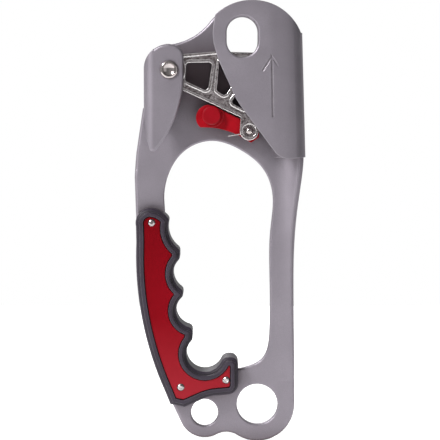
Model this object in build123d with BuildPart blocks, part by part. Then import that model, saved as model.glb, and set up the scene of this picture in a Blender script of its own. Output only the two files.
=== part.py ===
from build123d import *

import math
import os

# A handled rope ascender for the left hand, drawn upright as it hangs on the rope.
# Millimetres. +X points from the grip to the rope channel, +Y from the open front to
# the flat back, +Z up along the rope. The origin is the centre of the large lower eye,
# in the middle of the sheet.

# ---------------------------------------------------------------- driving dimensions
SHEET = 4.0  # aluminium sheet
GAP = 15.0  # clear depth between the back plate and the folded front cheek
BIG_EYE_R = 10.2
BIG_LOBE_R = 18.7
SMALL_EYE = (-26.4, -4.15)
SMALL_EYE_R = 6.75
SMALL_LOBE_R = 12.8
AXLE = (-43.5, 167.6)  # the cam turns about this point
CATCH = (-4.3, 137.6)  # the safety catch turns about this point, on the cam
LOBE_R = 12.5  # upper corner of the folded lobe, round the axle
CHANNEL_LEAN = 1.65  # degrees by which the channel leans out towards its foot
CHANNEL_FOOT = (23.6, 124.4)  # right-hand extreme of the channel at its lower end
GRIP_DEPTH = 12.0  # each rubber half, from the middle of the sheet outwards
RIM_INSET = 3.7  # width of the rubber rim round the red cover
RUN_FIT = 0.05  # radial clearance of a running fit
RIM_ROUND = 0.8  # rounding round the openings of the frame
EDGE_ROUND = 1.3  # rounding of the frame's outer edges

# Depth levels that follow from the sheet and the gap.
PLATE_BACK = SHEET / 2
PLATE_FRONT = -SHEET / 2
CHEEK_BACK = PLATE_FRONT - GAP
CHEEK_FRONT = CHEEK_BACK - SHEET
MID_GAP = PLATE_FRONT - GAP / 2
FULL_DEPTH = 2 * SHEET + GAP
CAM_SIDE_GAP = 1.5  # between the cam and the sheet on each side
CAM_FRONT = CHEEK_BACK + CAM_SIDE_GAP
CAM_BACK = PLATE_FRONT - CAM_SIDE_GAP


def facing(y):
    """Plane at depth y that faces the front: its x is X, its y is Z."""
    return Plane.XZ.offset(-y)


def polar(centre, radius, degrees):
    """Point at a distance and angle from a centre."""
    angle = math.radians(degrees)
    return (centre[0] + radius * math.cos(angle), centre[1] + radius * math.sin(angle))


def tangent_point(start, centre, radius, side):
    """Where the line from start touches a circle; side is 1 (left) or -1 (right)."""
    dx = start[0] - centre[0]
    dz = start[1] - centre[1]
    reach = math.degrees(math.acos(radius / math.hypot(dx, dz)))
    return polar(centre, radius, math.degrees(math.atan2(dz, dx)) + side * reach)


def dome_arc(x, y, radius, height):
    """Profile of a domed head about the axis at x: from its rim at y to its top."""
    sphere = (radius**2 + height**2) / (2 * height)
    half = math.asin(radius / sphere) / 2
    middle = (x + sphere * math.sin(half), y - height + sphere * (1 - math.cos(half)))
    return ThreePointArc((x + radius, y), middle, (x, y - height))


# ---------------------------------------------------------------- frame: outlines
# The left edge of the handle, from the foot of the folded wall down to the small eye.
WALL_FOOT_Z = 148.5
WALL_X = AXLE[0] - LOBE_R
EDGE_KNEE = (-60.3, 126.5)
EDGE_UPRIGHT = (-61.2, 114.0)
EDGE_BEND = (-60.2, 82.0)
EDGE_BELLY = (-56.2, 38.0)
EDGE_FOOT = (-45.6, 6.5)
BEND_OUT = 5.0  # outer radius of the two tight bends of the folded wall
BEND_X = WALL_X + BEND_OUT
LOBE_TIP = (-52.1, 126.0)
HEAD = (-3.0, 175.2)  # centre of the round top of plate and cheek
HEAD_R = 26.2
HEAD_LEFT = 141.0
HEAD_RIGHT = 23.5
NECK_LEFT = 93.0  # where the hollow towards the head leaves the lobe's round corner
GRIP_TOP = 92.5  # upper end of the edge that the rubber wraps
STRUT_X = 8.8  # where the right-hand edge begins to curl forwards
STRUT_EDGE_X = BIG_LOBE_R
STRUT_FOOT_Z = 12.0
CURL_R = 17.5

# The channel's section is a three-arc nose: two easy side arcs and a tighter middle.
SIDE_R = 21.0  # middle of the sheet
NOSE_R = 7.5
SIDE_TURN = math.degrees(math.acos((SIDE_R - (SHEET + GAP) / 2) / (SIDE_R - NOSE_R)))
NOSE_TURN = 180 - 2 * SIDE_TURN
SIDE_RUN = math.sqrt((SIDE_R - NOSE_R) ** 2 - (SIDE_R - (SHEET + GAP) / 2) ** 2)
NOSE_DEPTH = NOSE_R + SHEET / 2 + SIDE_RUN  # from the start of the bend to the extreme


def plate_face():
    """Outline of the back plate without its holes."""
    neck = polar(AXLE, LOBE_R, NECK_LEFT)
    corner_z = AXLE[1] + math.sqrt(LOBE_R**2 - (BEND_X - AXLE[0]) ** 2)
    corner_mid = polar(AXLE, LOBE_R, 113)
    head_left = polar(HEAD, HEAD_R, HEAD_LEFT)
    head_right = polar(HEAD, HEAD_R, 72)
    touch = tangent_point(EDGE_FOOT, SMALL_EYE, SMALL_LOBE_R, 1)
    with BuildSketch(facing(PLATE_BACK)) as plate:
        with BuildLine():
            Line((BEND_X, WALL_FOOT_Z), (BEND_X, corner_z))
            ThreePointArc((BEND_X, corner_z), corner_mid, neck)
            ThreePointArc(neck, (-32.6, 183.7), head_left)
            ThreePointArc(head_left, polar(HEAD, HEAD_R, 85), head_right)
            Line(head_right, (CHANNEL_FOOT[0] - NOSE_DEPTH, CHANNEL_FOOT[1]))
            Line((CHANNEL_FOOT[0] - NOSE_DEPTH, CHANNEL_FOOT[1]), (STRUT_X, CHANNEL_FOOT[1]))
            Line((STRUT_X, CHANNEL_FOOT[1]), (STRUT_X, STRUT_FOOT_Z + 4))
            Line((STRUT_X, STRUT_FOOT_Z + 4), (STRUT_EDGE_X, STRUT_FOOT_Z))
            Line((STRUT_EDGE_X, STRUT_FOOT_Z), (STRUT_EDGE_X, 0))
            Line((STRUT_EDGE_X, 0), SMALL_EYE)
            Line(SMALL_EYE, touch)
            Line(touch, EDGE_FOOT)
            ThreePointArc(EDGE_FOOT, EDGE_BELLY, EDGE_BEND)
            Line(EDGE_BEND, EDGE_UPRIGHT)
            knee = (EDGE_KNEE[0] - 0.45, EDGE_KNEE[1] - 5)
            ThreePointArc(EDGE_UPRIGHT, knee, EDGE_KNEE)
            Line(EDGE_KNEE, (-57.0, WALL_FOOT_Z))
            Line((-57.0, WALL_FOOT_Z), (BEND_X, WALL_FOOT_Z))
        make_face()
        Circle(BIG_LOBE_R)
        with Locations(SMALL_EYE):
            Circle(SMALL_LOBE_R)
        crotch = plate.vertices().filter_by(lambda v: -20 < v.X < -5 and v.Y < -5)
        fillet(crotch, radius=10.0)
    return plate.sketch


def hand_opening_face():
    """The opening for the fingers; its left and lower left sides lie in the grip."""
    around = (
        (-46.4, 101.5),
        (-43.6, 117.3),
        (-35.8, 127.6),
        (-22.6, 132.2),
        (-8.3, 127.6),
        (3.2, 117.7),
        (7.5, 106.0),
        (6.5, 88.0),
        (6.2, 62.0),
        (6.1, 37.0),
        (2.3, 22.9),
        (-7.1, 18.4),
        (-21.5, 16.6),
        (-33.8, 19.6),
        (-41.0, 33.0),
        (-44.0, 54.0),
        (-46.0, 78.0),
    )
    with BuildSketch(facing(PLATE_BACK)) as opening:
        with BuildLine():
            Spline(*around, periodic=True)
        make_face()
    return opening.sketch


def lobe_face():
    """The front lobe: a tongue that covers the cam's hub."""
    corner_z = AXLE[1] + math.sqrt(LOBE_R**2 - (BEND_X - AXLE[0]) ** 2)
    with BuildSketch(facing(CHEEK_BACK)) as lobe:
        with BuildLine():
            Line((BEND_X, WALL_FOOT_Z), (BEND_X, corner_z))
            ThreePointArc((BEND_X, corner_z), polar(AXLE, LOBE_R, 110), polar(AXLE, LOBE_R, 90))
            Line(polar(AXLE, LOBE_R, 90), (-36.5, AXLE[1] + LOBE_R - 1.4))
            Line((-36.5, AXLE[1] + LOBE_R - 1.4), (-36.5, 163.0))
            ThreePointArc((-36.5, 163.0), (-39.5, 146.9), LOBE_TIP)
            Line(LOBE_TIP, (-54.6, 134.0))
            Line((-54.6, 134.0), (WALL_X, WALL_FOOT_Z))
            Line((WALL_X, WALL_FOOT_Z), (BEND_X, WALL_FOOT_Z))
        make_face()
        fillet(lobe.vertices().sort_by(Axis.Y)[0], radius=1.6)
        shoulder = lobe.vertices().filter_by(lambda v: v.X > -37 and v.Y > 175)
        fillet(shoulder, radius=6.0)
    return lobe.sketch


def cheek_cut_face():
    """All that lies outside the cheek's free edge."""
    with BuildSketch(facing(MID_GAP)) as cut:
        with BuildLine():
            Polyline((-21.0, 240), (-21.0, 194.6), (-22.6, 183.5), (-19.6, 172.8), (-10.4, 152.3))
            Polyline((-10.4, 152.3), (10.2, 124.8), (19.5, 123.2), (26.0, 126.0), (60, 126.0))
            Polyline((60, 126.0), (60, 90), (-80, 90), (-80, 240), (-21.0, 240))
        make_face()
        soft = {-22.6: 22.0, -19.6: 14.0, -10.4: 40.0, 10.2: 9.0}
        for x, radius in soft.items():
            corner = cut.vertices().filter_by(lambda v, x=x: abs(v.X - x) < 0.01)
            fillet(corner, radius=radius)
    return cut.sketch


def head_face(y):
    """Everything below the round top; the channel and cheek are trimmed by it."""
    left = polar(HEAD, HEAD_R, HEAD_LEFT)
    right = polar(HEAD, HEAD_R, HEAD_RIGHT)
    with BuildSketch(facing(y)) as head:
        with BuildLine():
            ThreePointArc(left, polar(HEAD, HEAD_R, 85), right)
            Polyline(right, (60, right[1] - 6), (60, 90), (-80, 90), (-80, left[1]), left)
        make_face()
    return head.sketch


# ---------------------------------------------------------------- frame: rope channel
def channel_plane():
    """Plane across the channel at its foot; x points right, y points back."""
    lean = math.radians(CHANNEL_LEAN)
    return Plane(
        origin=(CHANNEL_FOOT[0], 0, CHANNEL_FOOT[1]),
        x_dir=(math.cos(lean), 0, math.sin(lean)),
        z_dir=(-math.sin(lean), 0, math.cos(lean)),
    )


def channel_section():
    """Bent sheet of the channel with a long front cheek and a short back flange."""
    flange = -NOSE_DEPTH - 6.5
    cheek = -NOSE_DEPTH - 36.0
    turns = ((SIDE_R, SIDE_TURN), (NOSE_R, NOSE_TURN), (SIDE_R, SIDE_TURN))
    with BuildSketch(channel_plane()) as section:
        with BuildLine():
            line = Line((flange, PLATE_BACK), (-NOSE_DEPTH, PLATE_BACK))
            for radius, turn in turns:
                line = JernArc(line @ 1, line % 1, radius + SHEET / 2, -turn)
            Polyline(
                line @ 1,
                (cheek, CHEEK_FRONT),
                (cheek, CHEEK_BACK),
                (-NOSE_DEPTH, CHEEK_BACK),
            )
            line = Line((-NOSE_DEPTH - 1, CHEEK_BACK), (-NOSE_DEPTH, CHEEK_BACK), mode=Mode.PRIVATE)
            for radius, turn in turns:
                line = JernArc(line @ 1, line % 1, radius - SHEET / 2, turn)
            Polyline(line @ 1, (flange, PLATE_FRONT), (flange, PLATE_BACK))
        make_face()
    return section.sketch


def curl_section(z, start_x, radius, edge_x):
    """Section of the right-hand margin, which curls forwards from start_x."""
    turn = math.degrees(math.asin((edge_x - start_x) / (radius + SHEET / 2)))
    tail = start_x - 0.8
    with BuildSketch(Plane.XY.offset(z)) as section:
        with BuildLine():
            Line((tail, PLATE_BACK), (start_x, PLATE_BACK))
            outer = JernArc((start_x, PLATE_BACK), (1, 0), radius + SHEET / 2, -turn)
            inner = JernArc((start_x, PLATE_FRONT), (1, 0), radius - SHEET / 2, -turn)
            free_edge = Line(outer @ 1, inner @ 1)
            Line((start_x, PLATE_FRONT), (tail, PLATE_FRONT))
            Line((tail, PLATE_FRONT), (tail, PLATE_BACK))
        make_face()
        rims = section.vertices().sort_by(lambda v: (v.center() - free_edge @ 0.5).length)[:2]
        fillet(rims, radius=EDGE_ROUND)
    return section.sketch


# ---------------------------------------------------------------- frame
LEAN_TOP = 82.0  # length of channel before its top is trimmed round
HOLE_CENTRE = (-7.7, 183.6)
HOLE_SIZE = (20.0, 15.4)
RIVETS = ((-52.5, 92.1), (-38.2, 10.0), (-15.6, 13.6))
RIVET_HOLE_R = 1.6
AXLE_R = 3.0
SPRING_LEG_ANGLE = 270.0
SPRING_COIL_R = 5.8
SPRING_WIRE_R = 0.55
LEG_PLAY = 0.3  # round the spring's leg in its hole
ON_FACE = 0.01  # an edge this close to a face lies on it
ARROW_TIP = (6.6, 173.8)
ARROW_FOOT = (7.2, 144.4)
ARROW_BARBS = ((2.1, 167.0), (11.3, 167.0))
ARROW_WIDTH = 0.9
ARROW_DEPTH = 0.4


def is_hole_rim(edge):
    """Edges of the carabiner hole on the two outer faces."""
    middle = edge @ 0.5
    away = math.hypot(middle.X - HOLE_CENTRE[0], middle.Z - HOLE_CENTRE[1])
    off_face = min(abs(middle.Y - CHEEK_FRONT), abs(middle.Y - PLATE_BACK))
    return away < HOLE_SIZE[0] / 2 + ON_FACE and off_face < ON_FACE


def is_free_edge(edge):
    """Outer edges of the plate that no bend, channel or strut continues."""
    middle = edge @ 0.5
    at_handle = middle.X < -57.05 and middle.Z > GRIP_TOP
    at_eyes = max((edge @ 0).Z, (edge @ 1).Z) < STRUT_FOOT_Z + ON_FACE
    at_head = middle.Z > AXLE[1] + 8 and edge.geom_type == GeomType.CIRCLE
    return at_handle or at_eyes or at_head


with BuildPart() as plate_body:
    extrude(to_extrude=plate_face(), amount=SHEET)
    extrude(to_extrude=hand_opening_face(), amount=SHEET, mode=Mode.SUBTRACT)
    # Inside the grip the left edge is set back, so that the rubber wraps it.
    with BuildSketch(facing(PLATE_BACK)):
        with BuildLine():
            ThreePointArc((EDGE_FOOT[0] - 3, 4.0), (EDGE_BELLY[0] - 3, 38.0), (-64.5, 82.0))
            Line((-64.5, 82.0), (-64.5, GRIP_TOP))
            Line((-64.5, GRIP_TOP), (-59.2, GRIP_TOP))
            Line((-59.2, GRIP_TOP), (-59.0, 82.0))
            ThreePointArc((-59.0, 82.0), (EDGE_BELLY[0] + 2.1, 38.0), (EDGE_FOOT[0] + 1.0, 4.0))
            Line((EDGE_FOOT[0] + 1.0, 4.0), (EDGE_FOOT[0] - 3, 4.0))
        make_face()
    extrude(amount=SHEET, mode=Mode.SUBTRACT)
    with BuildSketch(facing(PLATE_BACK)):
        Circle(BIG_EYE_R)
        with Locations(SMALL_EYE):
            Circle(SMALL_EYE_R)
    extrude(amount=SHEET, mode=Mode.SUBTRACT)
    for side in (0, -1):
        face = plate_body.faces().sort_by(Axis.Y)[side]
        rims = [edge for wire in face.inner_wires() for edge in wire.edges()]
        fillet(rims, radius=RIM_ROUND)
    for side in (0, -1):
        face = plate_body.faces().sort_by(Axis.Y)[side]
        fillet(face.outer_wire().edges().filter_by(is_free_edge), radius=EDGE_ROUND)
    # Rivet holes and the small hole for the closing spring's leg.
    with BuildSketch(facing(PLATE_BACK)):
        with Locations(*RIVETS):
            Circle(RIVET_HOLE_R)
        with Locations(polar(AXLE, SPRING_COIL_R, SPRING_LEG_ANGLE)):
            Circle(SPRING_WIRE_R + LEG_PLAY)
    extrude(amount=SHEET, mode=Mode.SUBTRACT)

with BuildPart() as lobe:
    # Tongue over the cam's hub; its left edge carries the wall's bend down to the tip.
    extrude(to_extrude=lobe_face(), amount=SHEET)
    with BuildSketch(Plane.XY.offset(LOBE_TIP[1] - 1)) as lobe_section:
        with Locations(((WALL_X - 30) / 2, CHEEK_FRONT + BEND_OUT)):
            Rectangle(-30 - WALL_X, 2 * BEND_OUT)
        corner = lobe_section.vertices().filter_by(lambda v: v.X < -50 and v.Y < CHEEK_FRONT + 1)
        fillet(corner, radius=BEND_OUT)
    extrude(amount=AXLE[1] + LOBE_R + 2 - LOBE_TIP[1], mode=Mode.INTERSECT)
    front = lobe.faces().filter_by(Axis.Y).sort_by(Axis.Y)[0]
    fillet(front.edges().filter_by(lambda e: (e @ 0.5).X > BEND_X + 1.5), radius=EDGE_ROUND)

with BuildPart() as folded_wall:
    # Wall and two bends between plate and lobe.
    with BuildSketch(Plane.XY.offset(WALL_FOOT_Z)) as wall_section:
        with BuildLine():
            Line((BEND_X, PLATE_BACK), (WALL_X, PLATE_BACK))
            Line((WALL_X, PLATE_BACK), (WALL_X, CHEEK_FRONT))
            Line((WALL_X, CHEEK_FRONT), (BEND_X, CHEEK_FRONT))
            Line((BEND_X, CHEEK_FRONT), (BEND_X, CHEEK_BACK))
            Line((BEND_X, CHEEK_BACK), (WALL_X + SHEET, CHEEK_BACK))
            Line((WALL_X + SHEET, CHEEK_BACK), (WALL_X + SHEET, PLATE_FRONT))
            Line((WALL_X + SHEET, PLATE_FRONT), (BEND_X, PLATE_FRONT))
            Line((BEND_X, PLATE_FRONT), (BEND_X, PLATE_BACK))
        make_face()
        fillet(wall_section.vertices().group_by(Axis.X)[0], radius=BEND_OUT)
        fillet(
            wall_section.vertices().filter_by(lambda v: abs(v.X - WALL_X - SHEET) < 0.01),
            radius=BEND_OUT - SHEET,
        )
    extrude(amount=40)
    with BuildSketch(facing(PLATE_BACK)):
        with Locations(AXLE):
            Circle(LOBE_R)
        with Locations((AXLE[0], AXLE[1] - 20)):
            Rectangle(2 * LOBE_R, 40)
    extrude(amount=FULL_DEPTH, mode=Mode.INTERSECT)

with BuildPart() as channel:
    extrude(to_extrude=channel_section(), amount=LEAN_TOP)
    extrude(to_extrude=cheek_cut_face(), amount=SHEET + GAP, mode=Mode.SUBTRACT)
    extrude(to_extrude=head_face(PLATE_BACK), amount=FULL_DEPTH, mode=Mode.INTERSECT)

with BuildPart() as curl:
    # Height, start of the curl, its radius and where the edge ends up.
    stations = (
        (STRUT_FOOT_Z, STRUT_X, 400.0, STRUT_EDGE_X),
        (40.0, STRUT_X, 80.0, 18.6),
        (66.0, STRUT_X, 40.0, 18.5),
        (86.0, 9.0, 22.0, 19.3),
        (104.0, 9.2, CURL_R, 21.3),
        (115.0, 9.2, CURL_R, 22.8),
        (124.5, 9.2, CURL_R, 23.5),
    )
    for station in stations:
        add(curl_section(*station))
    loft()

with BuildPart() as frame:
    add(plate_body.part)
    add(folded_wall.part)
    add(lobe.part)
    add(channel.part)
    add(curl.part)
    # Bore for the axle and the carabiner slot at the top, through both layers.
    with BuildSketch(facing(PLATE_BACK)):
        with Locations(AXLE):
            Circle(AXLE_R + RUN_FIT)
        with Locations(HOLE_CENTRE):
            SlotOverall(HOLE_SIZE[0], HOLE_SIZE[1], rotation=90)
    extrude(amount=FULL_DEPTH, mode=Mode.SUBTRACT)
    hole_rims = frame.edges().filter_by(is_hole_rim)
    fillet(hole_rims, radius=RIM_ROUND)
    # Arrow engraved in the cheek: the way up the rope.
    with BuildSketch(facing(CHEEK_FRONT + ARROW_DEPTH)):
        with BuildLine():
            for end in (ARROW_FOOT, *ARROW_BARBS):
                Line(ARROW_TIP, end)
        trace(line_width=ARROW_WIDTH)
    extrude(amount=SHEET, mode=Mode.SUBTRACT)
frame.part.label = "frame"

# ---------------------------------------------------------------- cam
# The toothed face is a logarithmic spiral about the axle, so that it meets the rope at
# the same angle whatever the rope's thickness.
CONTACT_ANGLE = -15.1
SPIRAL_SLOPE = math.tan(math.radians(15.0))
FACE_R = 61.6  # distance from the axle to the face where it meets the rope
FACE_LOW = -22.5
FACE_HIGH = 9.0
FACE_BEVEL = 3.4  # by how much the face falls back towards the cam's sides
FACE_FLAT = 2.6  # half width of the flat middle of the face
TOOTH_HEIGHT = 1.3
TOOTH_R = 0.85
TOOTH_TIP_R = 0.12
TOOTH_LEAN = 18.0  # degrees downwards, so that the rope can only slide one way
TOOTH_ROOT = 0.3  # how deep a tooth starts inside the face
TOOTH_ROWS = 9
TOOTH_PITCH = 2.4  # between the teeth of a row
SLEEVE_R = 4.0
HUB_R = 8.1
HUB_FRONT = CHEEK_BACK + 0.8
HUB_BACK = PLATE_FRONT - 0.8
POCKET_R = 7.0
POCKET_FLOOR = -8.2
COLLAR_R = 4.9
EAR_R = 4.6
EAR_FRONT = CAM_FRONT + 1.6  # rear face of the front ear
EAR_BACK = CAM_BACK - 3.0  # front face of the rear ear
EAR_SLOT_R = 6.5
EAR_CLEAR_X = 5.0  # room for the lever beside the fork's round slot
EAR_CLEAR_Z = 6.4
PIN_R = 1.5
RIM = 1.25  # raised rims round the cam and its windows
RECESS = 0.6
# Outer edge of the recessed panels, a rim's width inside the cam's own edge.
PANEL = (
    (-40.0, 173.3),
    (-21.2, 175.2),
    (7.0, 176.1),
    (10.4, 160.0),
    (9.4, 143.6),
    (-7.9, 145.4),
    (-40.0, 160.0),
)


def face_point(degrees, lift=0.0):
    """Point of the toothed face, lifted off it by a little along the radius."""
    turned = math.radians(degrees - CONTACT_ANGLE)
    return polar(AXLE, FACE_R * math.exp(-SPIRAL_SLOPE * turned) + lift, degrees)


def face_points(lift):
    """Points along the whole toothed face, from its top to its foot."""
    steps = 6
    angles = [FACE_HIGH + (FACE_LOW - FACE_HIGH) * i / steps for i in range(steps + 1)]
    return [face_point(angle, lift) for angle in angles]


def cam_outline(y):
    """Side view of the cam at full thickness, without its windows."""
    face = face_points(-FACE_BEVEL)
    with BuildSketch(facing(y)) as outline:
        with BuildLine():
            Line((AXLE[0], AXLE[1] + 7.0), (-21.3, 176.4))
            Line((-21.3, 176.4), face[0])
            Spline(*face)
            Line(face[-1], (8.0, 140.3))
            Line((8.0, 140.3), (-7.6, 143.9))
            Line((-7.6, 143.9), polar(AXLE, 6.4, -115))
            Line(polar(AXLE, 6.4, -115), (AXLE[0], AXLE[1] + 7.0))
        make_face()
        with Locations(AXLE):
            Circle(HUB_R)
        # Ear for the catch, hanging from the lower bar.
        with Locations(CATCH):
            Circle(EAR_R)
        with BuildLine():
            ear_left = (CATCH[0] - EAR_R, CATCH[1])
            ear_right = polar(CATCH, EAR_R, 20)
            Polyline(ear_left, (-8.4, 145.0), (5.0, 144.0), ear_right, CATCH, ear_left)
        make_face()
    return outline.sketch


def face_cap(y, lift):
    """Section of the head near the face, which is narrower there than the cam."""
    face = face_points(lift)
    with BuildSketch(facing(y)) as cap:
        with BuildLine():
            Line((7.0, face[0][1] - 0.3), face[0])
            Spline(*face)
            Line(face[-1], (8.2, 141.0))
            Line((8.2, 141.0), (7.0, face[0][1] - 0.3))
        make_face()
    return cap.sketch


def cam_windows(y, grow=0.0):
    """The three windows between the cam's bars."""
    windows = (
        ((-35.2, 171.0), (-22.4, 171.2), (-24.6, 156.9), (-35.9, 162.1)),
        ((-18.9, 171.9), (-2.2, 173.4), (-16.3, 154.7), (-20.3, 157.3)),
        ((-13.6, 151.5), (2.6, 171.0), (6.2, 166.0), (5.2, 146.0), (-7.4, 148.4)),
    )
    with BuildSketch(facing(y)) as openings:
        for corners in windows:
            with BuildSketch(facing(y)) as one:
                with BuildLine():
                    Polyline(*corners, close=True)
                make_face()
                fillet(one.vertices(), radius=1.6)
                if grow:
                    offset(amount=grow)
            add(one.sketch)
    return openings.sketch


def tooth_plane(degrees, y):
    """Plane on the toothed face; its z leaves the face and leans downwards."""
    here = face_point(degrees, lift=-TOOTH_ROOT)
    ahead = face_point(degrees + 0.5, lift=-TOOTH_ROOT)
    along = math.atan2(ahead[1] - here[1], ahead[0] - here[0])
    out = along - math.radians(90 + TOOTH_LEAN)
    return Plane(
        origin=(here[0], y, here[1]),
        x_dir=(0, 1, 0),
        z_dir=(math.cos(out), 0, math.sin(out)),
    )


with BuildPart() as cam_nose:
    # The face narrows towards the rope, to sink into the bottom of the channel.
    add(face_cap(CAM_BACK, -FACE_BEVEL))
    add(face_cap(MID_GAP + FACE_FLAT, 0))
    add(face_cap(MID_GAP - FACE_FLAT, 0))
    add(face_cap(CAM_FRONT, -FACE_BEVEL))
    loft(ruled=True)

with BuildPart() as cam:
    extrude(to_extrude=cam_outline(CAM_BACK), amount=CAM_BACK - CAM_FRONT)
    add(cam_nose.part)
    extrude(to_extrude=cam_windows(CAM_BACK), amount=CAM_BACK - CAM_FRONT, mode=Mode.SUBTRACT)
    # Recessed panels leave raised rims along every edge, on both sides.
    for y in (CAM_FRONT + RECESS, CAM_BACK):
        with BuildSketch(facing(y)):
            with BuildLine():
                Polyline(*PANEL, close=True)
            make_face()
            add(cam_windows(y, grow=RIM), mode=Mode.SUBTRACT)
            with Locations(AXLE):
                Circle(HUB_R, mode=Mode.SUBTRACT)
            with Locations(CATCH):
                Circle(EAR_R - RIM)
        extrude(amount=RECESS, mode=Mode.SUBTRACT)
    with BuildSketch(facing(HUB_BACK)):
        with Locations(AXLE):
            Circle(HUB_R)
    extrude(amount=HUB_BACK - HUB_FRONT)
    # Pocket for the closing spring, open to the back, with a collar in its middle.
    with BuildSketch(facing(HUB_BACK)):
        with Locations(AXLE):
            Circle(POCKET_R)
            Circle(COLLAR_R, mode=Mode.SUBTRACT)
    extrude(amount=HUB_BACK - POCKET_FLOOR, mode=Mode.SUBTRACT)
    with BuildSketch(facing(HUB_BACK)):
        with Locations(AXLE):
            Circle(SLEEVE_R + RUN_FIT)
    extrude(amount=HUB_BACK - HUB_FRONT, mode=Mode.SUBTRACT)
    # Fork for the catch lever, its spring and its pin.
    with BuildSketch(facing(EAR_BACK)):
        with Locations(CATCH):
            Circle(EAR_SLOT_R)
        with Locations((CATCH[0] - EAR_CLEAR_X, CATCH[1] + EAR_CLEAR_Z / 2)):
            Rectangle(EAR_CLEAR_X, EAR_CLEAR_Z)
    extrude(amount=EAR_BACK - EAR_FRONT, mode=Mode.SUBTRACT)
    with BuildSketch(facing(CAM_BACK)):
        with Locations(CATCH):
            Circle(PIN_R)
    extrude(amount=CAM_BACK - CAM_FRONT, mode=Mode.SUBTRACT)
    # Teeth in staggered rows of two and three.
    first_row = FACE_HIGH - 2.5
    last_row = FACE_LOW + 6.0
    for row in range(TOOTH_ROWS):
        degrees = first_row + (last_row - first_row) * row / (TOOTH_ROWS - 1)
        across = (-TOOTH_PITCH, 0.0, TOOTH_PITCH) if row % 2 else (-TOOTH_PITCH / 2, TOOTH_PITCH / 2)
        for shift in across:
            with Locations(tooth_plane(degrees, MID_GAP + shift)):
                Cone(
                    TOOTH_R,
                    TOOTH_TIP_R,
                    TOOTH_HEIGHT + TOOTH_ROOT,
                    align=(Align.CENTER, Align.CENTER, Align.MIN),
                )
cam.part.label = "cam"

# ---------------------------------------------------------------- axle set
AXLE_HEAD_R = 4.45
AXLE_TAIL_R = 4.3
TAIL_HEIGHT = 1.5
TAIL_WASHER = 1.0
TAIL_WASHER_R = 6.0
DISH_R = 2.7  # the dish in the axle's head
DISH_DEPTH = 0.7
DISH_RIM = 0.9  # height of the dish's rim over the cheek
HEAD_TOP = 1.4
WASHER = HUB_FRONT - CHEEK_BACK - RUN_FIT


def ring(y_front, y_back, outer, inner, centre=AXLE):
    """Tube or washer between two depths."""
    with BuildPart() as tube:
        with BuildSketch(facing(y_back)):
            with Locations(centre):
                Circle(outer)
                Circle(inner, mode=Mode.SUBTRACT)
        extrude(amount=y_back - y_front)
    return tube.part


with BuildPart() as cam_axle:
    # Turned profile about the axle: dished head in front, closed tail at the back.
    with BuildSketch(Plane.XY.offset(AXLE[1])):
        with BuildLine():
            x = AXLE[0]
            tail_y = PLATE_BACK + TAIL_WASHER
            Polyline(
                (x, tail_y + TAIL_HEIGHT),
                (x + 2.6, tail_y + TAIL_HEIGHT),
                (x + AXLE_TAIL_R, tail_y + 0.4),
                (x + AXLE_TAIL_R, tail_y),
                (x + AXLE_R, tail_y),
                (x + AXLE_R, CHEEK_FRONT),
                (x + AXLE_HEAD_R, CHEEK_FRONT),
                (x + AXLE_HEAD_R, CHEEK_FRONT - 0.5),
            )
            ThreePointArc(
                (x + AXLE_HEAD_R, CHEEK_FRONT - 0.5),
                (x + 3.9, CHEEK_FRONT - 1.25),
                (x + 3.1, CHEEK_FRONT - HEAD_TOP),
            )
            Line((x + 3.1, CHEEK_FRONT - HEAD_TOP), (x + DISH_R, CHEEK_FRONT - DISH_RIM))
            dome_arc(x, CHEEK_FRONT - DISH_RIM, DISH_R, -DISH_DEPTH)
            Line((x, CHEEK_FRONT - DISH_RIM + DISH_DEPTH), (x, tail_y + TAIL_HEIGHT))
        make_face()
    revolve(axis=Axis((AXLE[0], 0, AXLE[1]), (0, 1, 0)), revolution_arc=360)
cam_axle.part.label = "cam_axle"

with BuildPart() as axle_sleeve:
    add(ring(CHEEK_BACK, PLATE_FRONT, SLEEVE_R, AXLE_R + RUN_FIT))
axle_sleeve.part.label = "axle_sleeve"

with BuildPart() as thrust_washers:
    for front in (CHEEK_BACK, PLATE_FRONT - WASHER):
        add(ring(front, front + WASHER, COLLAR_R, SLEEVE_R + RUN_FIT))
thrust_washers.part.label = "thrust_washers"

with BuildPart() as axle_tail_washer:
    add(ring(PLATE_BACK, PLATE_BACK + TAIL_WASHER, TAIL_WASHER_R, AXLE_R + RUN_FIT))
axle_tail_washer.part.label = "axle_tail_washer"

# Torsion spring that closes the cam. It lies in the hub's pocket, and its rear leg is
# hooked into the plate.
SPRING_TURNS = 2.5
SPRING_PITCH = 1.35
LEG_END = 1.2  # the rear leg stops inside the sheet
with BuildPart() as cam_spring:
    rise = SPRING_TURNS * SPRING_PITCH
    rear_y = CAM_BACK
    front = (AXLE[0], rear_y - rise, AXLE[1])
    with BuildLine():
        coil = Helix(SPRING_PITCH, rise, SPRING_COIL_R, center=front, direction=(0, 1, 0))
    with BuildSketch(Plane(origin=coil @ 0, z_dir=coil % 0)):
        Circle(SPRING_WIRE_R)
    sweep(path=coil)
    # Rear leg, straight back into the plate.
    with BuildSketch(facing(LEG_END)):
        with Locations(((coil @ 1).X, (coil @ 1).Z)):
            Circle(SPRING_WIRE_R)
    extrude(amount=LEG_END - rear_y)
cam_spring.part.label = "cam_spring"

# ---------------------------------------------------------------- safety catch
LEVER_FRONT = -12.2
LEVER_BACK = -7.0
PAD_SEAT = -13.2
PAD_FRONT = -16.4
PAD_CENTRE = (-22.8, 145.2)
PAD_R = 4.7
PAD_ROUND = 0.9
PAD_LEFT = 12.0  # the block reaches to the lever's left end
PAD_LEDGE = 1.2  # how far the lever's block stands out round the pad
STEM_LENGTH = 2.8
STEM_R = 1.45


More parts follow.
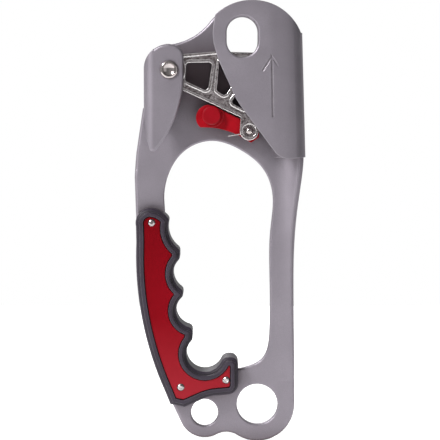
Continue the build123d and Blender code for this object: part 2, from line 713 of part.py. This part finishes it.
def lever_face(y):
    """Side view of the catch lever; its right-hand end wraps the pin."""
    with BuildSketch(facing(y)) as lever:
        with BuildLine():
            ThreePointArc((-24.4, 150.3), (-30.3, 145.4), (-28.3, 139.2))
            ThreePointArc((-28.3, 139.2), (-18.6, 138.4), (-8.2, 134.6))
            Line((-8.2, 134.6), (-3.3, 131.6))
            Line((-3.3, 131.6), (0.6, 134.4))
            Line((0.6, 134.4), (0.2, 140.2))
            Line((0.2, 140.2), (-7.2, 142.6))
            Line((-7.2, 142.6), (-22.4, 149.9))
            Line((-22.4, 149.9), (-24.4, 150.3))
        make_face()
        fillet(lever.vertices(), radius=0.9)
    return lever.sketch


with BuildPart() as catch_lever:
    extrude(to_extrude=lever_face(LEVER_BACK), amount=LEVER_BACK - LEVER_FRONT)
    # Thicker block under the thumb.
    with BuildSketch(facing(LEVER_FRONT)):
        with Locations((PAD_CENTRE[0] - PAD_LEFT / 2, PAD_CENTRE[1])):
            Rectangle(PAD_LEFT, 2 * PAD_LEFT)
        with Locations(PAD_CENTRE):
            Circle(PAD_R + PAD_LEDGE)
        add(lever_face(LEVER_FRONT), mode=Mode.INTERSECT)
    extrude(amount=LEVER_FRONT - PAD_SEAT)
    with BuildSketch(facing(LEVER_BACK)):
        with Locations(CATCH):
            Circle(PIN_R + RUN_FIT)
    extrude(amount=LEVER_BACK - LEVER_FRONT, mode=Mode.SUBTRACT)
    # Blind hole that takes the pad's stem.
    with BuildSketch(facing(PAD_SEAT + STEM_LENGTH + 0.2)):
        with Locations(PAD_CENTRE):
            Circle(STEM_R + RUN_FIT)
    extrude(amount=STEM_LENGTH + 0.2, mode=Mode.SUBTRACT)
catch_lever.part.label = "catch_lever"

with BuildPart() as catch_button:
    with BuildSketch(facing(PAD_SEAT)):
        with Locations(PAD_CENTRE):
            Circle(PAD_R)
    extrude(amount=PAD_SEAT - PAD_FRONT)
    fillet(catch_button.faces().sort_by(Axis.Y)[0].edges(), radius=PAD_ROUND)
    with BuildSketch(facing(PAD_SEAT + STEM_LENGTH)):
        with Locations(PAD_CENTRE):
            Circle(STEM_R)
    extrude(amount=STEM_LENGTH)
catch_button.part.label = "catch_button"

PIN_HEAD_R = PIN_R + 0.35
PIN_HEAD = 1.1  # height of the pin's domed head
with BuildPart() as catch_pin:
    # Turned profile: domed head in front, shank through fork and lever, flat tail.
    with BuildSketch(Plane.XY.offset(CATCH[1])):
        with BuildLine():
            x = CATCH[0]
            Line((x, CAM_BACK), (x + PIN_R, CAM_BACK))
            Line((x + PIN_R, CAM_BACK), (x + PIN_R, CAM_FRONT))
            Line((x + PIN_R, CAM_FRONT), (x + PIN_HEAD_R, CAM_FRONT))
            dome_arc(x, CAM_FRONT, PIN_HEAD_R, PIN_HEAD)
            Line((x, CAM_FRONT - PIN_HEAD), (x, CAM_BACK))
        make_face()
    revolve(axis=Axis((CATCH[0], 0, CATCH[1]), (0, 1, 0)), revolution_arc=360)
catch_pin.part.label = "catch_pin"

# Wire spring of the catch: two turns round the pin in front of the lever, and a leg that
# hooks under the lever's lower edge.
WIRE_R = 0.3
SPRING_Y = (EAR_FRONT + LEVER_FRONT) / 2
with BuildPart() as catch_spring:
    add(ring(SPRING_Y - 2 * WIRE_R, SPRING_Y + 2 * WIRE_R, PIN_R + 0.8, PIN_R + 0.15, CATCH))
    leg_start = (CATCH[0] - 1.6, SPRING_Y, CATCH[1] - 1.2)
    leg_bend = (CATCH[0] - 10.5, SPRING_Y, CATCH[1] - 2.6)
    leg_end = (leg_bend[0], LEVER_FRONT + 2.5, leg_bend[2])
    with BuildLine() as leg:
        Polyline(leg_start, leg_bend, leg_end)
    with BuildSketch(Plane(origin=leg_start, z_dir=leg.line % 0)):
        Circle(WIRE_R)
    sweep(path=leg.line, transition=Transition.ROUND)
catch_spring.part.label = "catch_spring"

# ---------------------------------------------------------------- grip
FINGERS = (
    ((-31.4, 89.4), 13.0),
    ((-32.3, 66.6), 9.6),
    ((-31.8, 48.2), 8.7),
    ((-26.2, 26.6), 9.2),
)
COVER_THICK = 1.6
COVER_SEAT = GRIP_DEPTH - 2.5
SIDE_STEP = 9.6  # depth of the rounded side wall
STEP_INSET = 1.7  # how far the raised rim stands back from the side wall
BUMP_R = 2.6
HOOK_R = 3.8
HEEL_R = 5.2  # lower right corner
FOOT_R = 24.0  # hollow of the lower edge, over the small eye
RIM_EDGE = 0.7  # rounding of the raised rim's edges
COVER_PLAY = 0.4  # gap between a cover and the rim round it
RIVET_HEAD_R = 1.9
RIVET_R = 1.5


def grip_face(y, inset=0.0):
    """Outline of the grip, drawn in by an even inset; fingers press it in as circles."""
    with BuildSketch(facing(y)) as grip:
        with BuildLine():
            left_top = (-60.35, 90.0)
            left_low = (-43.5, 1.2)
            ThreePointArc(left_top, (-57.0, 97.9), (-52.3, 98.8))
            ThreePointArc((-52.3, 98.8), (-46.8, 96.6), (-42.0, 87.4))
            Line((-42.0, 87.4), (-38.6, 83.4))
            Line((-38.6, 83.4), (-38.6, 70.0))
            Line((-38.6, 70.0), (-37.0, 62.0))
            Line((-37.0, 62.0), (-37.0, 52.0))
            Line((-37.0, 52.0), (-32.3, 44.0))
            Line((-32.3, 44.0), (-32.3, 30.0))
            Line((-32.3, 30.0), (-20.0, 24.8))
            Line((-20.0, 24.8), (-9.6, 24.8))
            Line((-9.6, 24.8), (-9.6, 6.4))
            Line((-9.6, 6.4), (-24.0, 5.2))
            Line((-24.0, 5.2), (-36.5, -0.4))
            Line((-36.5, -0.4), left_low)
            Line(left_low, EDGE_FOOT)
            ThreePointArc(EDGE_FOOT, EDGE_BELLY, EDGE_BEND)
            Line(EDGE_BEND, left_top)
        make_face()
        heel = grip.vertices().filter_by(lambda v: v.X > -10 and v.Y < 10)
        fillet(heel, radius=HEEL_R)
        foot = grip.vertices().filter_by(lambda v: -25 < v.X < -23)
        fillet(foot, radius=FOOT_R)
        if inset:
            offset(amount=-inset, kind=Kind.INTERSECTION)
        for centre, radius in FINGERS:
            with Locations(centre):
                Circle(radius + inset, mode=Mode.SUBTRACT)
        if inset < BUMP_R - 0.8:
            bumps = grip.vertices().filter_by(lambda v: -46 < v.X < -18.5 and v.Y > 20)
            fillet(bumps, radius=BUMP_R - inset)
            hook = grip.vertices().filter_by(lambda v: -18.5 < v.X and v.Y > 20)
            fillet(hook, radius=HOOK_R - inset)
    return grip.sketch


def grip_shell():
    """Front rubber half, still without the frame's hollow and the rivet holes."""
    with BuildPart() as shell:
        extrude(to_extrude=grip_face(0), amount=SIDE_STEP)
        fillet(shell.faces().sort_by(Axis.Y)[0].edges(), radius=STEP_INSET - 0.1)
        extrude(to_extrude=grip_face(-SIDE_STEP, STEP_INSET), amount=GRIP_DEPTH - SIDE_STEP)
        fillet(shell.faces().sort_by(Axis.Y)[0].edges(), radius=RIM_EDGE)
        extrude(
            to_extrude=grip_face(-COVER_SEAT, RIM_INSET),
            amount=GRIP_DEPTH - COVER_SEAT,
            mode=Mode.SUBTRACT,
        )
        add(frame.part, mode=Mode.SUBTRACT)
        with BuildSketch(facing(0)):
            with Locations(*RIVETS):
                Circle(RIVET_HOLE_R)
        extrude(amount=GRIP_DEPTH, mode=Mode.SUBTRACT)
    return shell.part


def grip_cover():
    """Front red plate in its recess."""
    with BuildPart() as cover:
        extrude(to_extrude=grip_face(-COVER_SEAT, RIM_INSET + COVER_PLAY), amount=COVER_THICK)
        with BuildSketch(facing(-COVER_SEAT)):
            with Locations(*RIVETS):
                Circle(RIVET_HOLE_R)
        extrude(amount=COVER_THICK, mode=Mode.SUBTRACT)
    return cover.part


with BuildPart() as grip_shell_front:
    add(grip_shell())
grip_shell_front.part.label = "grip_shell_front"

with BuildPart() as grip_shell_back:
    mirror(grip_shell(), about=Plane.XZ)
grip_shell_back.part.label = "grip_shell_back"

with BuildPart() as grip_cover_front:
    add(grip_cover())
grip_cover_front.part.label = "grip_cover_front"

with BuildPart() as grip_cover_back:
    mirror(grip_cover(), about=Plane.XZ)
grip_cover_back.part.label = "grip_cover_back"

# Two-part rivets: the post comes from the front, its cap with a pin from the back.
COVER_FACE = COVER_SEAT + COVER_THICK
POST_TIP = 7.0
POST_BORE_R = 0.9
DIMPLE_R = 0.75
DIMPLE_DEPTH = 0.45
DOME = 0.9  # height of a rivet's domed head


def rivet_profile(x, z, tip, bore, pin_radius):
    """Turned rivet half about the line through x, z; its head is on the front cover."""
    with BuildPart() as rivet:
        with BuildSketch(Plane.XY.offset(z)):
            with BuildLine():
                Line((x, tip), (x + pin_radius, tip))
                Line((x + pin_radius, tip), (x + pin_radius, -COVER_FACE))
                Line((x + pin_radius, -COVER_FACE), (x + RIVET_HEAD_R, -COVER_FACE))
                dome_arc(x, -COVER_FACE, RIVET_HEAD_R, DOME)
                Line((x, -COVER_FACE - DOME), (x, tip))
            make_face()
        revolve(axis=Axis((x, 0, z), (0, 1, 0)), revolution_arc=360)
        with BuildSketch(facing(DIMPLE_DEPTH - COVER_FACE - DOME)):
            with Locations((x, z)):
                Circle(DIMPLE_R)
        extrude(amount=DOME, mode=Mode.SUBTRACT)
        if bore:
            with BuildSketch(facing(tip)):
                with Locations((x, z)):
                    Circle(bore)
            extrude(amount=tip + COVER_SEAT, mode=Mode.SUBTRACT)
    return rivet.part


with BuildPart() as grip_rivet_posts:
    for x, z in RIVETS:
        add(rivet_profile(x, z, POST_TIP, POST_BORE_R, RIVET_R))
grip_rivet_posts.part.label = "grip_rivet_posts"

with BuildPart() as grip_rivet_caps:
    for x, z in RIVETS:
        cap = rivet_profile(x, z, 2.0, 0, POST_BORE_R - RUN_FIT)
        mirror(cap, about=Plane.XZ)
grip_rivet_caps.part.label = "grip_rivet_caps"

# ---------------------------------------------------------------- export
os.makedirs("parts", exist_ok=True)
for piece in (
    frame,
    cam,
    cam_axle,
    axle_sleeve,
    thrust_washers,
    axle_tail_washer,
    cam_spring,
    catch_lever,
    catch_button,
    catch_pin,
    catch_spring,
    grip_shell_front,
    grip_shell_back,
    grip_cover_front,
    grip_cover_back,
    grip_rivet_posts,
    grip_rivet_caps,
):
    export_step(piece.part, f"parts/{piece.part.label}.step")
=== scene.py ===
import math

import bpy
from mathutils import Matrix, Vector


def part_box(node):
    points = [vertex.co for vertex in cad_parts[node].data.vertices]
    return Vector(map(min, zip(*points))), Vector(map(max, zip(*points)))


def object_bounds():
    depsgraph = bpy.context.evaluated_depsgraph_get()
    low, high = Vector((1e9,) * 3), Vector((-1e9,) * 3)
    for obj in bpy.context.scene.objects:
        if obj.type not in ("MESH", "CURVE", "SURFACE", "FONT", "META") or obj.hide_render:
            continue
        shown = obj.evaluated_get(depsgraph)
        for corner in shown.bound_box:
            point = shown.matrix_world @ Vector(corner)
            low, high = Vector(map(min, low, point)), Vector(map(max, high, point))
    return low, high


# A handled rope ascender: grey anodised frame, bright cast cam, red catch, rubber grip
# with red covers. Metres, in the CAD model's own frame.

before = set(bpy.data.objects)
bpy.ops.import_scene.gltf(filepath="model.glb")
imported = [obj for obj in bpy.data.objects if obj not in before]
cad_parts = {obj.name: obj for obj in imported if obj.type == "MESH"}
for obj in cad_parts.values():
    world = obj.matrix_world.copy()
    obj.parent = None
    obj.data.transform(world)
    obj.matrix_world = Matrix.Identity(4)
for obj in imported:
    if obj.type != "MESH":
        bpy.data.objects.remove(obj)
cad_low, cad_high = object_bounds()
MIDDLE = (cad_low + cad_high) / 2
MM = 0.001


# ---------------------------------------------------------------- camera
CAMERA_ELEVATION = math.radians(4.0)
CAMERA_DISTANCE = 1.0
CAMERA_LENS = 163.6  # millimetres, on a 36 mm sensor
AIM_RIGHT = 0.15 * MM  # the view's centre is this far right of the object's middle,
AIM_UP = 1.3 * MM  # and this far above it


def add_camera():
    """Looks at the sheet's mid-plane from the front, a little from above."""
    camera = bpy.data.objects.new("camera", bpy.data.cameras.new("camera"))
    bpy.context.scene.collection.objects.link(camera)
    camera.data.lens = CAMERA_LENS
    target = Vector((MIDDLE.x + AIM_RIGHT, 0.0, MIDDLE.z + AIM_UP))
    back = Vector((0.0, -math.cos(CAMERA_ELEVATION), math.sin(CAMERA_ELEVATION)))
    camera.location = target + back * CAMERA_DISTANCE
    camera.rotation_mode = "QUATERNION"
    camera.rotation_quaternion = (-back).to_track_quat("-Z", "Y")
    bpy.context.scene.camera = camera


# ---------------------------------------------------------------- material kit
PROBES = 6  # rays that the edge and shelter nodes send out each time
MIX_SHARE, MIX_FIRST, MIX_SECOND = 0, 6, 7  # a mix node's inputs when it mixes colours,
MIX_RESULT = 2  # and its output


class Surface:
    """A node material in the making. Most methods add nodes and return an output."""

    def __init__(self, name):
        self.material = bpy.data.materials.new(name)
        self.material.use_nodes = True
        self.tree = self.material.node_tree
        self.shader = self.tree.nodes["Principled BSDF"]
        self.place = self.add("ShaderNodeTexCoord").outputs["Object"]

    def add(self, kind, inputs=None, **settings):
        """New node; an input is given a number, a colour or another node's output."""
        made = self.tree.nodes.new(kind)
        for key, value in settings.items():
            setattr(made, key, value)
        for key, value in (inputs or {}).items():
            self.feed(made.inputs[key], value)
        return made

    def feed(self, socket, value):
        """Links another node's output to a socket, or sets the socket's own value."""
        if isinstance(value, bpy.types.NodeSocket):
            self.tree.links.new(value, socket)
        else:
            socket.default_value = value

    def set(self, **inputs):
        """Sets inputs of the main shader; an underscore stands for a space."""
        for key, value in inputs.items():
            self.feed(self.shader.inputs[key.replace("_", " ")], value)

    def stretched(self, x=1.0, y=1.0, z=1.0, centre=(0, 0, 0)):
        """Object coordinates scaled unevenly about a centre."""
        moved = self.add("ShaderNodeVectorMath", {0: self.place, 1: centre}, operation="SUBTRACT")
        scaled = {0: moved.outputs[0], 1: (x, y, z)}
        return self.add("ShaderNodeVectorMath", scaled, operation="MULTIPLY").outputs[0]

    def noise(self, size, detail=3.0, roughness=0.5, place=None):
        """Noise from 0 to 1 whose features have about the given size in metres."""
        made = self.add(
            "ShaderNodeTexNoise",
            {
                "Vector": place or self.place,
                "Scale": 1.0 / size,
                "Detail": detail,
                "Roughness": roughness,
            },
        )
        return made.outputs["Fac"]

    def spread(self, value, low, high, start=0.0, end=1.0):
        """Maps value from the range low..high to start..end."""
        return self.add(
            "ShaderNodeMapRange",
            {"Value": value, "From Min": low, "From Max": high, "To Min": start, "To Max": end},
        ).outputs["Result"]

    def ranged(self, noise, start=0.0, end=1.0):
        """Noise, which stays mostly between 0.3 and 0.7, mapped to start..end."""
        return self.spread(noise, 0.3, 0.7, start, end)

    def sum(self, first, second):
        """Two values added."""
        return self.calculate("ADD", first, second)

    def product(self, first, second):
        """Two values multiplied."""
        return self.calculate("MULTIPLY", first, second)

    def calculate(self, operation, *values):
        """Result of one arithmetic node."""
        return self.add("ShaderNodeMath", dict(enumerate(values)), operation=operation).outputs[0]

    def blend(self, share, first, second):
        """Colour between two colours."""
        made = self.add("ShaderNodeMix", data_type="RGBA")
        self.feed(made.inputs[MIX_SHARE], share)
        self.feed(made.inputs[MIX_FIRST], first)
        self.feed(made.inputs[MIX_SECOND], second)
        return made.outputs[MIX_RESULT]

    def rounded(self, radius):
        """Normal that rounds every edge by a small radius."""
        return self.add("ShaderNodeBevel", {"Radius": radius}, samples=PROBES).outputs["Normal"]

    def edges(self, radius, low=0.02, high=0.25):
        """1 along sharp edges, 0 on open surfaces."""
        flat = self.add("ShaderNodeNewGeometry").outputs["Normal"]
        pair = {0: self.rounded(radius), 1: flat}
        aligned = self.add("ShaderNodeVectorMath", pair, operation="DOT_PRODUCT").outputs["Value"]
        return self.spread(self.calculate("SUBTRACT", 1.0, aligned), low, high)

    def shelter(self, distance):
        """1 in the open, falling to 0 deep in corners and pockets."""
        made = self.add("ShaderNodeAmbientOcclusion", {"Distance": distance}, samples=PROBES)
        return made.outputs["AO"]

    def relief(self, height, depth, strength=1.0, normal=None):
        """Bump from a height of 0 to 1 that stands for a depth in metres."""
        settings = {"Height": height, "Distance": depth, "Strength": strength}
        made = self.add("ShaderNodeBump", settings)
        if normal is not None:
            self.feed(made.inputs["Normal"], normal)
        return made.outputs["Normal"]


def tint(red, green, blue):
    """Colour as it shows on a screen, 0 to 255, as the linear colour that shaders use."""
    shown = [c / 255 for c in (red, green, blue)]
    linear = [c / 12.92 if c <= 0.04045 else ((c + 0.055) / 1.055) ** 2.4 for c in shown]
    return (*linear, 1.0)


# ---------------------------------------------------------------- materials
def alloy():
    """Bead-blasted, grey anodised sheet: a painted highlight along its edges, painted shade in its
    corners and recesses.
    """
    surface = Surface("frame_alloy")
    cloud = surface.noise(18 * MM, detail=4)
    grain = surface.noise(0.32 * MM, detail=2)
    # Painted highlight: the edges are painted paler, in patches broken up by the cloud noise.
    edge_highlight = surface.product(surface.edges(0.7 * MM), surface.spread(cloud, 0.35, 0.7))
    body = surface.blend(surface.ranged(cloud), tint(134, 128, 136), tint(142, 136, 144))
    body = surface.blend(surface.spread(grain, 0.35, 0.75, 0.0, 0.35), body, tint(118, 112, 120))
    # Painted shade: the sheet is painted darker in corners and under the parts that stand over it.
    free_of_painted_shade = surface.spread(surface.shelter(16 * MM), 0.25, 0.85)
    body = surface.blend(free_of_painted_shade, tint(84, 74, 78), body)
    surface.set(
        Base_Color=surface.blend(edge_highlight, body, tint(184, 180, 185)),
        Metallic=0.75,
        Roughness=surface.spread(surface.sum(cloud, grain), 0.6, 1.4, 0.40, 0.52),
        Normal=surface.relief(grain, 0.02 * MM, 0.5, surface.rounded(0.5 * MM)),
    )
    return surface.material


def cast_steel():
    """Bright steel casting: pitted skin, a painted near-white highlight along its raised edges,
    painted shade in its recesses.
    """
    surface = Surface("cam_steel")
    skin = surface.noise(1.2 * MM, detail=3)
    stain = surface.noise(5 * MM, detail=3)
    # Painted shade: the casting is painted darker in its recesses.
    painted_recess_shade = surface.spread(surface.shelter(2.0 * MM), 0.45, 0.95)
    # Painted highlight: the raised edges are painted near white.
    rim_highlight = surface.edges(0.9 * MM, 0.01, 0.15)
    bright = surface.blend(surface.ranged(stain), tint(186, 174, 176), tint(224, 216, 218))
    pitted = surface.blend(surface.spread(skin, 0.3, 0.55), tint(104, 90, 92), bright)
    body = surface.blend(painted_recess_shade, tint(92, 78, 80), pitted)
    surface.set(
        Base_Color=surface.blend(rim_highlight, body, tint(250, 247, 247)),
        Metallic=1.0,
        Roughness=surface.spread(surface.sum(skin, stain), 0.6, 1.4, 0.1, 0.26),
        Normal=surface.relief(skin, 0.14 * MM, 0.8, surface.rounded(0.45 * MM)),
    )
    return surface.material


RING_PHASE = 24000.0  # radians per metre: the turning rings are 0.26 mm apart


def turned_steel(name, node, low, high):
    """Polished steel with fine turning rings; low and high bound its roughness."""
    surface = Surface(name)
    first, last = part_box(node)
    centre = (first + last) / 2
    from_axis = surface.stretched(1.0, 0.0, 1.0, centre)
    radius = surface.add("ShaderNodeVectorMath", {0: from_axis}, operation="LENGTH")
    phase = surface.product(radius.outputs["Value"], RING_PHASE)
    rings = surface.calculate("SINE", phase)
    scuffs = surface.noise(0.8 * MM, detail=3)
    surface.set(
        Base_Color=surface.blend(scuffs, tint(158, 148, 147), tint(188, 182, 181)),
        Metallic=1.0,
        Roughness=surface.ranged(scuffs, low, high),
        Normal=surface.relief(rings, 0.004 * MM, 0.5, surface.rounded(0.15 * MM)),
    )
    return surface.material


def plain_steel(name, low, high):
    """Plated steel of washers, rivets and springs; low and high bound its roughness."""
    surface = Surface(name)
    scuffs = surface.noise(0.7 * MM, detail=3)
    bloom = surface.noise(3.5 * MM)
    surface.set(
        Base_Color=surface.blend(surface.ranged(bloom), tint(160, 153, 153), tint(188, 184, 184)),
        Metallic=1.0,
        Roughness=surface.ranged(scuffs, low, high),
        Normal=surface.relief(scuffs, 0.02 * MM, 0.4, surface.rounded(0.12 * MM)),
    )
    return surface.material


def moulded_red(name, dark, light, rough):
    """Coloured moulding with a fine sparked texture and a painted paler highlight along its edges.
    """
    surface = Surface(name)
    texture = surface.noise(0.25 * MM, detail=2)
    cloud = surface.noise(6 * MM)
    # Painted highlight: the edges are painted a paler red.
    edge_highlight = surface.edges(0.5 * MM)
    base = surface.blend(surface.ranged(cloud), dark, light)
    surface.set(
        Base_Color=surface.blend(surface.product(edge_highlight, 0.45), base, tint(214, 70, 78)),
        Roughness=surface.ranged(texture, rough - 0.05, rough + 0.07),
        Specular_IOR_Level=0.12,
        Normal=surface.relief(texture, 0.02 * MM, 0.5, surface.rounded(0.4 * MM)),
    )
    return surface.material


def grip_rubber():
    """Matt dark rubber, moulded with a fine grain, with a painted greyer sheen along its edges and
    painted shade in its corners.
    """
    surface = Surface("grip_rubber")
    grain = surface.noise(0.35 * MM, detail=4, roughness=0.65)
    cloud = surface.noise(9 * MM)
    # Painted sheen: the edges are painted greyer.
    edge_highlight = surface.edges(0.8 * MM)
    base = surface.blend(surface.ranged(cloud), tint(42, 36, 46), tint(52, 45, 56))
    # Painted shade: the rubber is painted near black in corners and pockets.
    free_of_painted_shade = surface.spread(surface.shelter(3 * MM), 0.35, 0.95)
    base = surface.blend(free_of_painted_shade, tint(12, 10, 12), base)
    surface.set(
        Base_Color=surface.blend(surface.product(edge_highlight, 0.5), base, tint(108, 98, 108)),
        Roughness=surface.ranged(grain, 0.42, 0.56),
        Specular_IOR_Level=0.26,
        Normal=surface.relief(grain, 0.04 * MM, 0.5, surface.rounded(0.4 * MM)),
    )
    return surface.material


# Painted light: from this height down the covers are painted paler, standing in for light.
PAINTED_PALE_FOOT = 45 * MM  # the covers grow paler from this height down to the eyes


def satin_red():
    """Anodised deep red cover plate with a fine brushed grain along the handle, a painted
    highlight along its edges and painted light that makes it paler towards the eyes.
    """
    surface = Surface("cover_red")
    brushed = surface.noise(0.3 * MM, detail=3, place=surface.stretched(1.0, 1.0, 0.06))
    cloud = surface.noise(22 * MM)
    # Painted highlight: the edges are painted a paler red.
    edge_highlight = surface.edges(0.35 * MM)
    height = surface.add("ShaderNodeSeparateXYZ", {0: surface.place}).outputs["Z"]
    base = surface.blend(surface.ranged(cloud), tint(124, 2, 14), tint(134, 4, 20))
    # Painted light: the covers are painted paler towards their bottom.
    base = surface.blend(surface.spread(height, 0.0, PAINTED_PALE_FOOT, 0.8, 0.0), base, tint(158, 42, 52))
    surface.set(
        Base_Color=surface.blend(surface.product(edge_highlight, 0.5), base, tint(206, 92, 100)),
        Metallic=0.9,
        Roughness=surface.ranged(brushed, 0.34, 0.46),
        Normal=surface.relief(brushed, 0.012 * MM, 0.5, surface.rounded(0.3 * MM)),
    )
    return surface.material


def dress(material, *names):
    """Gives CAD nodes one material."""
    for name in names:
        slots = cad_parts[name].material_slots
        for slot in slots:
            slot.material = material
        if not slots:
            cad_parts[name].data.materials.append(material)


# ---------------------------------------------------------------- stage
FLOOR_REACH = 0.6
FLOOR_GLOW = 0.6  # keeps the pale floor white up to its horizon


def add_floor():
    """Wide pale floor at the object's lowest point."""
    signs = ((-1, -1), (1, -1), (1, 1), (-1, 1))
    corners = [(FLOOR_REACH * x, FLOOR_REACH * y, cad_low.z) for x, y in signs]
    mesh = bpy.data.meshes.new("floor")
    mesh.from_pydata(corners, [], [(0, 1, 2, 3)])
    floor = bpy.data.objects.new("floor", mesh)
    bpy.context.scene.collection.objects.link(floor)
    surface = Surface("floor_paint")
    mottle = surface.noise(0.4)
    surface.set(
        Base_Color=surface.blend(mottle, (0.86, 0.86, 0.86, 1.0), (0.9, 0.9, 0.9, 1.0)),
        Roughness=0.8,
        Emission_Color=(1.0, 1.0, 1.0, 1.0),
        Emission_Strength=FLOOR_GLOW,
    )
    mesh.materials.append(surface.material)


def add_softbox(name, offset, size, power):
    """Square soft light that faces the object's middle from an offset."""
    light = bpy.data.lights.new(name, "AREA")
    light.shape = "SQUARE"
    light.size = size
    light.energy = power
    lamp = bpy.data.objects.new(name, light)
    bpy.context.scene.collection.objects.link(lamp)
    lamp.location = MIDDLE + Vector(offset)
    lamp.rotation_mode = "QUATERNION"
    lamp.rotation_quaternion = (-Vector(offset)).to_track_quat("-Z", "Y")


def add_studio():
    """Surroundings: white to the camera; in reflections brightest left and behind."""
    world = bpy.data.worlds.new("studio")
    bpy.context.scene.world = world
    world.use_nodes = True
    tree = world.node_tree
    place = tree.nodes.new("ShaderNodeTexCoord")
    direction = tree.nodes.new("ShaderNodeSeparateXYZ")
    tree.links.new(place.outputs["Generated"], direction.inputs[0])
    # For each axis: from and to which direction, and the brightness at either end.
    falls = {"X": (-0.9, 0.9, 0.56, 0.1), "Y": (0.1, 0.9, 0.0, 0.5)}
    both = tree.nodes.new("ShaderNodeMath")
    for slot, (axis, ends) in enumerate(falls.items()):
        fall = tree.nodes.new("ShaderNodeMapRange")
        tree.links.new(direction.outputs[axis], fall.inputs["Value"])
        for key, value in zip(("From Min", "From Max", "To Min", "To Max"), ends):
            fall.inputs[key].default_value = value
        tree.links.new(fall.outputs["Result"], both.inputs[slot])
    room = tree.nodes["Background"]
    backdrop = tree.nodes.new("ShaderNodeBackground")
    for background in (room, backdrop):
        background.inputs["Color"].default_value = (1, 1, 1, 1)
    tree.links.new(both.outputs[0], room.inputs["Strength"])
    rays = tree.nodes.new("ShaderNodeLightPath")
    either = tree.nodes.new("ShaderNodeMixShader")
    tree.links.new(rays.outputs["Is Camera Ray"], either.inputs[0])
    tree.links.new(room.outputs[0], either.inputs[1])
    tree.links.new(backdrop.outputs[0], either.inputs[2])
    tree.links.new(either.outputs[0], tree.nodes["World Output"].inputs[0])


# ---------------------------------------------------------------- build
bpy.context.scene.view_settings.view_transform = "Standard"
add_camera()
add_floor()
add_studio()
# Each light's offset from the object's middle, its side and its power in watts.
add_softbox("key", offset=(-0.62, -0.62, 0.62), size=0.22, power=12.5)
add_softbox("fill", offset=(0.8, -0.9, 0.1), size=0.8, power=1.2)
add_softbox("back", offset=(-0.3, 0.9, 0.6), size=0.5, power=4.0)

dress(alloy(), "frame")
dress(cast_steel(), "cam")
dress(turned_steel("axle_steel", "cam_axle", 0.1, 0.2), "cam_axle")
dress(turned_steel("pin_steel", "catch_pin", 0.12, 0.22), "catch_pin")
dress(plain_steel("plated_steel", 0.2, 0.32), "axle_sleeve", "thrust_washers", "axle_tail_washer")
dress(plain_steel("rivet_steel", 0.14, 0.24), "grip_rivet_posts", "grip_rivet_caps")
dress(plain_steel("spring_wire", 0.2, 0.3), "cam_spring", "catch_spring")
dress(moulded_red("catch_red", tint(130, 3, 14), tint(148, 6, 22), 0.36), "catch_lever")
dress(moulded_red("pad_red", tint(122, 2, 14), tint(134, 3, 20), 0.42), "catch_button")
dress(grip_rubber(), "grip_shell_front", "grip_shell_back")
dress(satin_red(), "grip_cover_front", "grip_cover_back")
